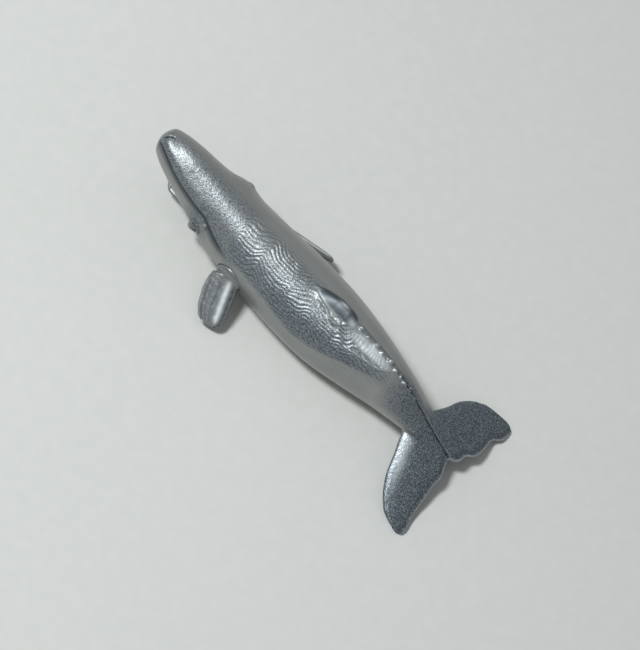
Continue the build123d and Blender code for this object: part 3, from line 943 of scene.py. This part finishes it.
def tooth_channel(side):
    """Room over the teeth of one side when the jaw is closed."""
    places = tooth_line()
    first, last = places[0], places[-1]
    half = TOOTH_RADIUS + JAW_GAP
    deep = JAW_GAP + TOOTH_HEIGHT + JAW_GAP
    outline = [
        (first[0] - half * 2, first[2] - deep), (first[0] - half * 2, first[2] + deep),
        (last[0] + half * 2, last[2] + deep), (last[0] + half * 2, last[2] - deep),
    ]
    return prism(outline, side * (first[1] - half), side * (last[1] + half))


def hollow():
    """The space inside the two shells, less the walls of the mouth and the flippers' seats."""
    first, last = HOLLOW_ENDS
    rings = [body_ring(place, WALL, 64) for place in np.linspace(first, last, 24) * LENGTH]
    kept = [mouth(PALATE_WALL), rod(PIN_RADIUS + PALATE_WALL, HINGE_X, HINGE_Z, -PIN_WALL_END, PIN_WALL_END)]
    seat_radius = HUB_RADIUS + HUB_CLEARANCE + SEAT_WALL
    for side in (-1, 1):
        kept.append(rod(seat_radius, FLIPPER_X, FLIPPER_Z, side * SEAT_START, side * POST_END))
    for x_share, z_share in POSTS:
        kept.append(rod(POST_RADIUS, LENGTH * x_share, BACK_HEIGHT * z_share, -POST_END, POST_END))
    space = skinned(rings)
    for part in kept:
        combined(space, part)
    return space


def whole_skin():
    """The outside of the figure in one piece, with its wrinkles, folds and seams."""
    parts = [plain_body(), flukes(), brow(-1), brow(1), knuckles(paints["body"])]
    skin = reskinned(joined("skin", parts), SKIN_STEP)
    relaxed(skin, 4)
    points = points_of(skin)
    x, out = points[:, 0] - NOSE_X, np.abs(points[:, 1])
    near_tail = rise(60.0, 62.5, x) * rise(5.0, 3.2, out)
    near_brow = rise(9.5, 11.0, x) * rise(21.0, 19.0, x) * rise(3.0, 4.0, out)
    relaxed(skin, 12, np.clip(near_tail + near_brow * 0.8, 0, 1))
    points, normals = points_of(skin), normals_of(skin)
    points = points + normals * Detail(points).height()[:, None]
    points[:, 2] = np.maximum(points[:, 2], 0.0)
    put_points(skin, points)
    return skin


def body_shells():
    """The whole skin with its openings, cut into halves along the middle, the tail bent a little."""
    skin = whole_skin()
    combined(skin, hollow())
    combined(skin, mouth(0.0))
    for side in (-1, 1):
        combined(skin, tooth_channel(side))
        far, eye, eye_far = side * BORE_END, side * EYE_Y, side * EYE_BORE_END
        for cutter in (
            rod(HUB_RADIUS + HUB_CLEARANCE, FLIPPER_X, FLIPPER_Z, side * HUB_FLOOR, far, 96),
            rod(PEG_RADIUS + PEG_CLEARANCE, FLIPPER_X, FLIPPER_Z, side * PEG_BORE_START, far),
            rod(EYE_RADIUS, EYE_X, EYE_Z, eye, eye_far, 48),
            rod(SHANK_RADIUS, EYE_X, EYE_Z, eye - side * SHANK_LENGTH, eye_far, 32),
        ):
            combined(skin, cutter)
    for side, name in ((-1, "left"), (1, "right")):
        half = skin.copy()
        half.data = skin.data.copy()
        bpy.context.scene.collection.objects.link(half)
        low, high = sorted((0.0, side * 30.0))
        combined(half, slab((-REACH, low, -5), (REACH, high, 30)), "INTERSECT")
        points = points_of(half)
        detail = Detail(points)
        mark(half, hollow=detail.hollow(), stipple=detail.rough, edge=detail.edge(), navy=detail.dark())
        points[:, 1] += TAIL_BEND * rise(BEND_START, BEND_END, detail.x)
        put_points(half, points)
        dressed(half, "body", name + "_skin")
        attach(half, "whale_body")
        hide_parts(name + "_body_shell")
    bpy.data.objects.remove(skin)


# Flippers
def unit(vector):
    vector = np.asarray(vector, float)
    return vector / np.linalg.norm(vector)


def blade_ways(sweep, pitch):
    """Ways along the blade, across it towards its rear edge, and up from it."""
    droop, turn, lean = (math.radians(angle) for angle in (FLIPPER_DROOP, sweep, -pitch))
    out, back = np.array([0, math.cos(droop), -math.sin(droop)]), np.array([1.0, 0, 0])
    reach = out * math.cos(turn) + back * math.sin(turn)
    level = back * math.cos(turn) - out * math.sin(turn)
    chord = level * math.cos(lean) + np.cross(reach, level) * math.sin(lean)
    return reach, chord, unit(np.cross(chord, reach))


def blade(root, ways, length, rear):
    reach, chord, up = ways
    turn = full_turn(72)
    rings = []
    tip_steps = TIP_START + (1 - TIP_START) * np.sin(np.linspace(0, math.pi / 2, 14))[1:]
    for span in np.concatenate([np.linspace(-0.06, TIP_START, 50), tip_steps]):
        wide, thick = curve(FLIPPER, 1, span), curve(FLIPPER, 2, span)
        if span > TIP_START:
            share = (span - TIP_START) / (1 - TIP_START)
            wide = TIP_CHORD * max(0.02, math.sqrt(max(0.0, 1 - share ** 2)))
            thick = TIP_THICKNESS * max(0.1, math.sqrt(max(0.0, 1 - share ** 3)))
        place = root + reach * length * span + chord * (length * float(curve(FLIPPER, 3, span)))
        a = rounded(np.cos(turn), 2.25) * FLIPPER_CHORD / 2 * float(wide)
        b = rounded(np.sin(turn), 2.3) * FLIPPER_THICKNESS / 2 * float(thick)
        rings.append(place + np.outer(np.where(a > 0, a * rear, a), chord) + np.outer(b, up))
    return skinned(rings)


def beyond(y):
    """All the space to the right of a place across."""
    return slab((-REACH, y, -10), (REACH, FAR_OUT, 30))


def fin_form(name, root, ways):
    """Blade, hub, peg and a swelling between them under one skin, as a right flipper."""
    length, swell, rear = FLIPPER_TURNS[name][2:]
    paddle = blade(root, ways, length, rear)
    keep = beyond(BLADE_CLEAR)
    combined(keep, rod(HUB_RADIUS - 0.02, FLIPPER_X, FLIPPER_Z, HUB_SEAT + 0.05, FAR_OUT), "UNION")
    combined(paddle, keep, "INTERSECT")
    turn, x = full_turn(96), root[0]
    rings = []
    for less, y in HUB_RIM:
        radius = HUB_RADIUS - less
        circle = [x + radius * np.cos(turn), np.full_like(turn, y), FLIPPER_Z + radius * np.sin(turn)]
        rings.append(np.stack(circle, 1))
    hub = skinned(rings)
    peg = rod(PEG_RADIUS, FLIPPER_X, FLIPPER_Z, PEG_END, HUB_SEAT + 0.3)
    shoulder = spheroid(SHOULDER_LENGTH, SHOULDER_RADIUS, (x, 0, FLIPPER_Z - 0.1), 0.0)
    bulge = points_of(shoulder)
    bulge[:, 1] = HUB_FACE - 0.1 + bulge[:, 1] * swell / SHOULDER_RADIUS
    put_points(shoulder, bulge)
    combined(shoulder, beyond(HUB_FACE - 0.5), "INTERSECT")
    fin = reskinned(joined("fin", [paddle, hub, peg, shoulder]), FIN_STEP)
    relaxed(fin, 3)
    y = points_of(fin)[:, 1]
    outer = rise(6.9, 7.5, y)
    return relaxed(fin, 8, outer * rise(10.0, 7.6, y)), outer


def flipper(side, name):
    """A flipper with its streaks, a painted highlight along a lane and painted shade on its rear strip,
    shaped as a right one and mirrored if left.
    """
    sweep, pitch, length, _, rear = FLIPPER_TURNS[name]
    ways = blade_ways(sweep, pitch)
    root = np.array([NOSE_X + FLIPPER_X, BLADE_ROOT, FLIPPER_Z])
    fin, outer = fin_form(name, root, ways)
    points, normals = points_of(fin), normals_of(fin)
    along, across = (points - root) @ ways[0], (points - root) @ ways[1]
    span = np.clip(along / length, 0, 1)
    # The lane runs from -1 on the front edge to 1 on the rear one.
    lane = (across - length * curve(FLIPPER, 3, span)) / (FLIPPER_CHORD / 2 * curve(FLIPPER, 1, span))
    lane = np.where(lane > 0, lane / rear, lane)
    off = np.abs(lane)
    wander = 0.16 * cloud(np.stack([along, across], 1), 2.4, 41)
    streak = np.abs(np.sin(math.pi * (lane * 2.6 + wander + 0.35)))
    only = outer * rise(0.4, 1.6, along)
    inner = only * rise(0.90, 0.72, off)
    rim = only * bell(off, 0.92, 0.05)
    # The lane where a highlight is painted.
    shine = bell(lane, 0.38, 0.19) * rise(-0.5, 1.0, along) * rise(0.97, 0.80, span)
    high = 0.07 * (streak - 0.6) * inner * (1 - 0.8 * shine) - 0.10 * only * bell(lane, -0.02, 0.10)
    high += 0.05 * rim - 0.05 * only * bell(off, 0.74, 0.07)
    high += (0.028 * cloud(points, 0.75, 51) + 0.018 * cloud(points, 0.40, 53)) * outer
    points = points + normals * high[:, None]
    points[:, 2] = np.maximum(points[:, 2], 0.0)
    # Painted shade in the streaks' grooves, on the rear strip and in a line near the rim; the rim and the
    # lane get painted highlights.
    parts = [
        0.45 * inner * rise(0.45, 0.08, streak) * (1 - shine),
        0.95 * only * rise(0.60, 0.74, lane) * rise(1.02, 0.94, lane),
        0.55 * only * bell(off, 0.74, 0.08),
    ]
    # Darker, bluer paint on the blade and hub, left lighter in the highlight lane.
    tone = 0.44 * rise(5.4, 5.9, points[:, 1]) * (1 - 0.9 * shine)
    mark(fin, hollow=np.maximum.reduce(parts), stipple=tone, edge=np.maximum(0.24 * rim, shine), navy=tone)
    points[:, 1] *= side
    put_points(fin, points)
    if side < 0:
        fin.data.flip_normals()
    dressed(fin, "fin", name + "_fin", 50.0)
    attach(fin, name + "_fin")
    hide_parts(name + "_flipper")


# Lower jaw
def teeth():
    """A small pointed tooth on each place of the line, leaning back a little, as one mesh."""
    sizes = {"Height": TOOTH_HEIGHT, "Radius": TOOTH_RADIUS, "Sink": TOOTH_SINK, "Seed": 7}
    tree = Growth("jaw_teeth", ("Line", "Teeth"), sizes)
    given = tree.given.outputs
    form = {
        "Radius_Top": tree.sums("MULTIPLY", given["Radius"], 0.28),
        "Radius_Bottom": given["Radius"],
        "Depth": tree.sums("ADD", given["Height"], given["Sink"]),
    }
    cone = tree.add("GeometryNodeMeshCone", Vertices=14, Side_Segments=4, **form)
    lean = tree.vector(0.0, 0.10, 0.0)
    tree.close(cone.outputs[0], paints["jaw"], Rotation=lean, Scale=tree.random(0.90, 1.0))
    places = [(x, side * y, z - TOOTH_SINK) for x, y, z in tooth_line() for side in (1, -1)]
    return tree.grown_on(new_object("teeth", places, []), **sizes)


def jaw_beam():
    """The jaw closed under the palate: a slim beam with lips, a round tip and a dished top."""
    tip = HINGE_X - JAW_LENGTH
    tip_low = jaw_top(tip) - JAW_TIP_DEPTH
    turn = full_turn(80)
    up = np.cos(turn)
    front = tip + JAW_TIP_HALF * (1 - np.cos(np.linspace(0.08, math.pi / 2, 16)))
    rings = []
    for x in np.concatenate([front, np.linspace(tip + JAW_TIP_HALF, HINGE_X, 30)[1:]]):
        half = JAW_TIP_HALF + (JAW_ROOT_HALF - JAW_TIP_HALF) * (x - tip) / JAW_LENGTH
        before = max(0.0, tip + JAW_TIP_HALF - x) / JAW_TIP_HALF
        half = half * math.sqrt(max(1e-3, 1 - before ** 2))
        top = jaw_top(x) if x < HINGE_X - 1.0 else min(jaw_top(x), HINGE_Z + BARREL_RADIUS)
        past = (x - tip - JAW_TIP_DEPTH) / (JAW_LENGTH - JAW_TIP_DEPTH)
        low = tip_low + (HINGE_Z - BARREL_RADIUS - tip_low) * past
        if past < 0:
            before = (tip + JAW_TIP_DEPTH - x) / JAW_TIP_DEPTH
            low = top - JAW_TIP_DEPTH * (0.5 + 0.5 * math.sqrt(max(0.0, 1 - before ** 2)))
        y = half * rounded(np.sin(turn), 2.6)
        z = (top + low) / 2 + (top - low) / 2 * rounded(up, np.where(up > 0, 4.0, 2.2))
        dish = 0.22 * np.clip(1 - (y / max(half * 0.62, 0.05)) ** 2, 0, 1) * (up > 0) * min(1.0, half / 1.2)
        rings.append(np.stack([np.full_like(turn, NOSE_X + x), y, z - dish], 1))
    return skinned(rings)


def lip_crease(points, width):
    """The crease along each side of the closed jaw, under its lip."""
    x, out = points[:, 0] - NOSE_X, np.abs(points[:, 1])
    rear, front = HINGE_Z - 0.6, jaw_top(HINGE_X - JAW_LENGTH) - 1.2
    line = rear + (front - rear) * (HINGE_X - x) / JAW_LENGTH
    return bell(points[:, 2], line, width) * rise(1.0, 1.4, out) * rise(HINGE_X - 1.4, HINGE_X - 3.0, x)


def lower_jaw():
    """The jaw with its teeth, shaped closed and then turned open."""
    barrel = rod(BARREL_RADIUS, HINGE_X, HINGE_Z, -JAW_ROOT_HALF, JAW_ROOT_HALF, 72)
    jaw = reskinned(joined("jaw", [jaw_beam(), barrel]), FIN_STEP * 0.85)
    relaxed(jaw, 3)
    points = points_of(jaw)
    high = -0.10 * lip_crease(points, 0.14) + 0.022 * cloud(points, 0.8, 61) + 0.014 * cloud(points, 0.4, 63)
    put_points(jaw, points + normals_of(jaw) * high[:, None])
    combined(jaw, rod(PIN_RADIUS + PIN_CLEARANCE, HINGE_X, HINGE_Z, -6, 6, 48))
    crease = 0.8 * lip_crease(points_of(jaw), 0.16)
    jaw = joined("jaw", [jaw, teeth()])
    points = points_of(jaw)
    teeth_count = len(points) - len(crease)
    # The teeth are painted lighter, and the crease under each lip gets painted shade.
    light = np.concatenate([0 * crease, np.full(teeth_count, 0.55)])
    dark = np.concatenate([crease, np.zeros(teeth_count)])
    mark(jaw, hollow=dark, stipple=np.full(len(points), 0.35), edge=light, navy=0.4 * (1 - light))
    hinge = np.array([NOSE_X + HINGE_X, 0.0, HINGE_Z])
    put_points(jaw, tilted(points - hinge, -JAW_OPEN) + hinge)
    dressed(jaw, "jaw", "jaw_with_teeth")
    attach(jaw, "jaw")
    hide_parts("lower_jaw")


body_shells()
flipper(-1, "left")
flipper(1, "right")
lower_jaw()

# Nodes that keep their CAD shape
KEPT_NODES = {
    "left_eye": "eye", "right_eye": "eye", "jaw_pin": "pin",
    "left_flipper_retainer": "collar", "right_flipper_retainer": "collar",
}
for node, kind in KEPT_NODES.items():
    kept = frame["nodes"][node]
    kept.data.materials.clear()
    kept.data.materials.append(paints[kind])

# Floor, light and camera
PIXELS_PER_MM, PHOTO_PIXELS = 6.0, 640
PHOTO_WIDTH = PHOTO_PIXELS / PIXELS_PER_MM * MM
# The back's line leans down to the tail, and the camera looks at it from a little to one side.
BACK_LEAN, CAMERA_ROLL = math.radians(6.1), math.radians(25.5)
BACK_LINE = np.array([math.cos(BACK_LEAN), 0, -math.sin(BACK_LEAN)])
BACK_UP = np.array([math.sin(BACK_LEAN), 0, math.cos(BACK_LEAN)])
BACK_ACROSS = np.array([0, math.cos(CAMERA_ROLL), 0]) + BACK_UP * math.sin(CAMERA_ROLL)
# The line's turn in the picture, and the picture's middle in pixels along and across the line.
LINE_COS, LINE_SIN = 0.6565, 0.7543
LINE_START, MIDDLE_ALONG, MIDDLE_ACROSS = np.array([-37.2, 0, 11.67]), 242.8, -5.85
VIEW_RIGHT = LINE_COS * BACK_LINE + LINE_SIN * BACK_ACROSS
VIEW_UP = -LINE_SIN * BACK_LINE + LINE_COS * BACK_ACROSS
VIEW_BACK = np.cross(VIEW_RIGHT, VIEW_UP)
MIDDLE = LINE_START + (BACK_LINE * MIDDLE_ALONG + BACK_ACROSS * MIDDLE_ACROSS) / PIXELS_PER_MM
CAMERA_FAR, SENSOR_WIDTH = 0.62, 36.0
# The lamp's way across, up and towards the camera, its height and distance, panel, power and colour.
LAMP_WAY, LAMP_AIM_HEIGHT, LAMP_FAR = (-0.25, 0.40, 0.88), 0.006, 0.55
LAMP_PANEL, LAMP_POWER, LAMP_COLOR = (0.11, 0.09), 2.5, (0.92, 0.965, 1.0)
ROOM_GLOW, ROOM_STRENGTH = (0.92, 0.96, 1.0, 1), 0.33
PAPER_HALF = 1.6
PAPER_TONES = ((0.618, 0.617, 0.576, 1), (0.656, 0.649, 0.612, 1), (0.708, 0.692, 0.669, 1))


def aimed(name, data, right, up, back, place):
    """Links a camera or a lamp that looks away from its back."""
    made = bpy.data.objects.new(name, data)
    bpy.context.scene.collection.objects.link(made)
    made.matrix_world = Matrix([*zip(right, up, back, place), (0, 0, 0, 1)])
    return made


def camera():
    lens = bpy.data.cameras.new("camera")
    lens.sensor_fit = "HORIZONTAL"
    lens.sensor_width = SENSOR_WIDTH
    lens.lens = SENSOR_WIDTH * CAMERA_FAR / PHOTO_WIDTH
    lens.clip_start, lens.clip_end = 0.01, 20.0
    place = MIDDLE * MM + VIEW_BACK * CAMERA_FAR
    bpy.context.scene.camera = aimed("camera", lens, VIEW_RIGHT, VIEW_UP, VIEW_BACK, place)


def window():
    """The one lamp, a soft panel that faces the figure."""
    light = bpy.data.lights.new("window", "AREA")
    light.shape = "RECTANGLE"
    light.size, light.size_y = LAMP_PANEL
    light.energy = LAMP_POWER
    light.color = LAMP_COLOR
    aim = unit(VIEW_RIGHT * LAMP_WAY[0] + VIEW_UP * LAMP_WAY[1] + VIEW_BACK * LAMP_WAY[2])
    side = unit(np.cross(VIEW_UP, aim))
    place = np.array([0, 0, LAMP_AIM_HEIGHT]) + aim * LAMP_FAR
    aimed("window", light, side, np.cross(aim, side), aim, place)


def paper():
    """The pale paper that the figure stands on."""
    sheet = Paint("paper")
    fibre = sheet.noise(420.0, 4.0, 0.6)
    tint = sheet.mix(sheet.noise(14.0, 2.0), *PAPER_TONES[:2])
    tint = sheet.mix(sheet.ramp(fibre, 0.35, 0.75) * 0.25, tint, PAPER_TONES[2])
    normal = sheet.bump(fibre, 0.0001, 0.15)
    ring = [(PAPER_HALF * x, PAPER_HALF * y, 0) for x, y in ((-1, -1), (1, -1), (1, 1), (-1, 1))]
    made = new_object("paper", ring, [(0, 1, 2, 3)])
    made.data.materials.append(sheet.finish(tint, Roughness=0.92, Normal=normal, Specular_IOR_Level=0.2))


def surroundings():
    world = bpy.data.worlds.new("soft_room")
    bpy.context.scene.world = world
    world.use_nodes = True
    world.node_tree.nodes.clear()
    tree = Tree(world.node_tree)
    glow = tree.add("ShaderNodeBackground", Color=ROOM_GLOW, Strength=ROOM_STRENGTH)
    tree.add("ShaderNodeOutputWorld", i0=glow.outputs[0])


camera()
window()
paper()
surroundings()
bpy.context.scene.view_settings.view_transform = "Standard"
